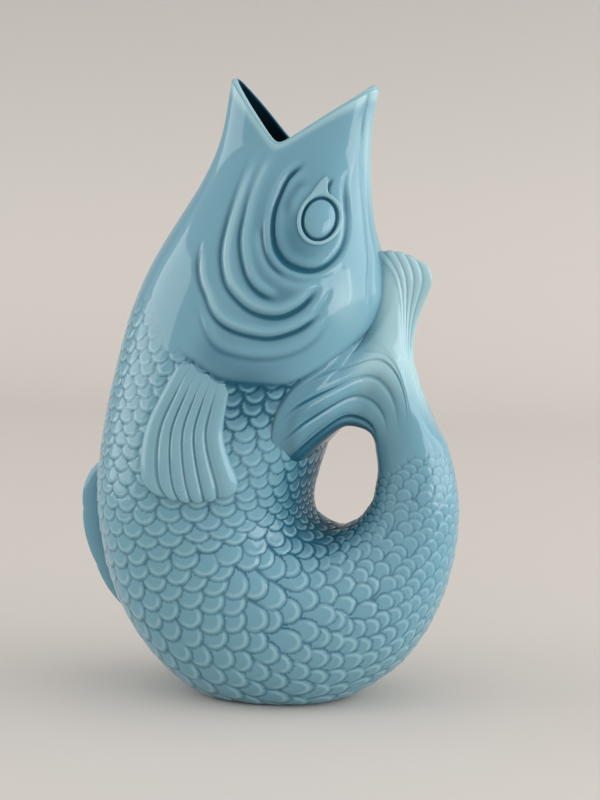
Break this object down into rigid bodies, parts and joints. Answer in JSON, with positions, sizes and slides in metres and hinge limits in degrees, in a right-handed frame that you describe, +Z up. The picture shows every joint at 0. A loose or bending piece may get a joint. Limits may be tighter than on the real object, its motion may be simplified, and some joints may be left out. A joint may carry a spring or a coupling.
{
  "type": "fish carafe",
  "caption": "Hollow fish-shaped stoneware carafe: open mouth as spout, scaled body on a flat foot, curled tail as a finger-loop handle, fins pressed on, glossy sky-blue glaze.",
  "frame": {"origin": "bottom centre of the bounding box, on the flat foot and in the plane of symmetry", "axes": "+Z up to the open mouth, +X to the tail that makes the handle, -X to the belly, -Y to the fish's left side"},
  "size_m": [0.1898, 0.1206, 0.2997],
  "materials": {
    "blue_glaze": "high-gloss sky-blue glaze, paler on raised edges and darker teal where it pools in grooves"
  },
  "bodies": {
    "root": {"head_shell": "blue_glaze", "body_shell": "blue_glaze", "tail_handle": "blue_glaze", "tail_fin": "blue_glaze", "left_pectoral_fin": "blue_glaze", "right_pectoral_fin": "blue_glaze", "belly_fin": "blue_glaze", "left_eye": "blue_glaze", "right_eye": "blue_glaze", "left_eye_ring": "blue_glaze", "right_eye_ring": "blue_glaze"}
  },
  "joints": []
}
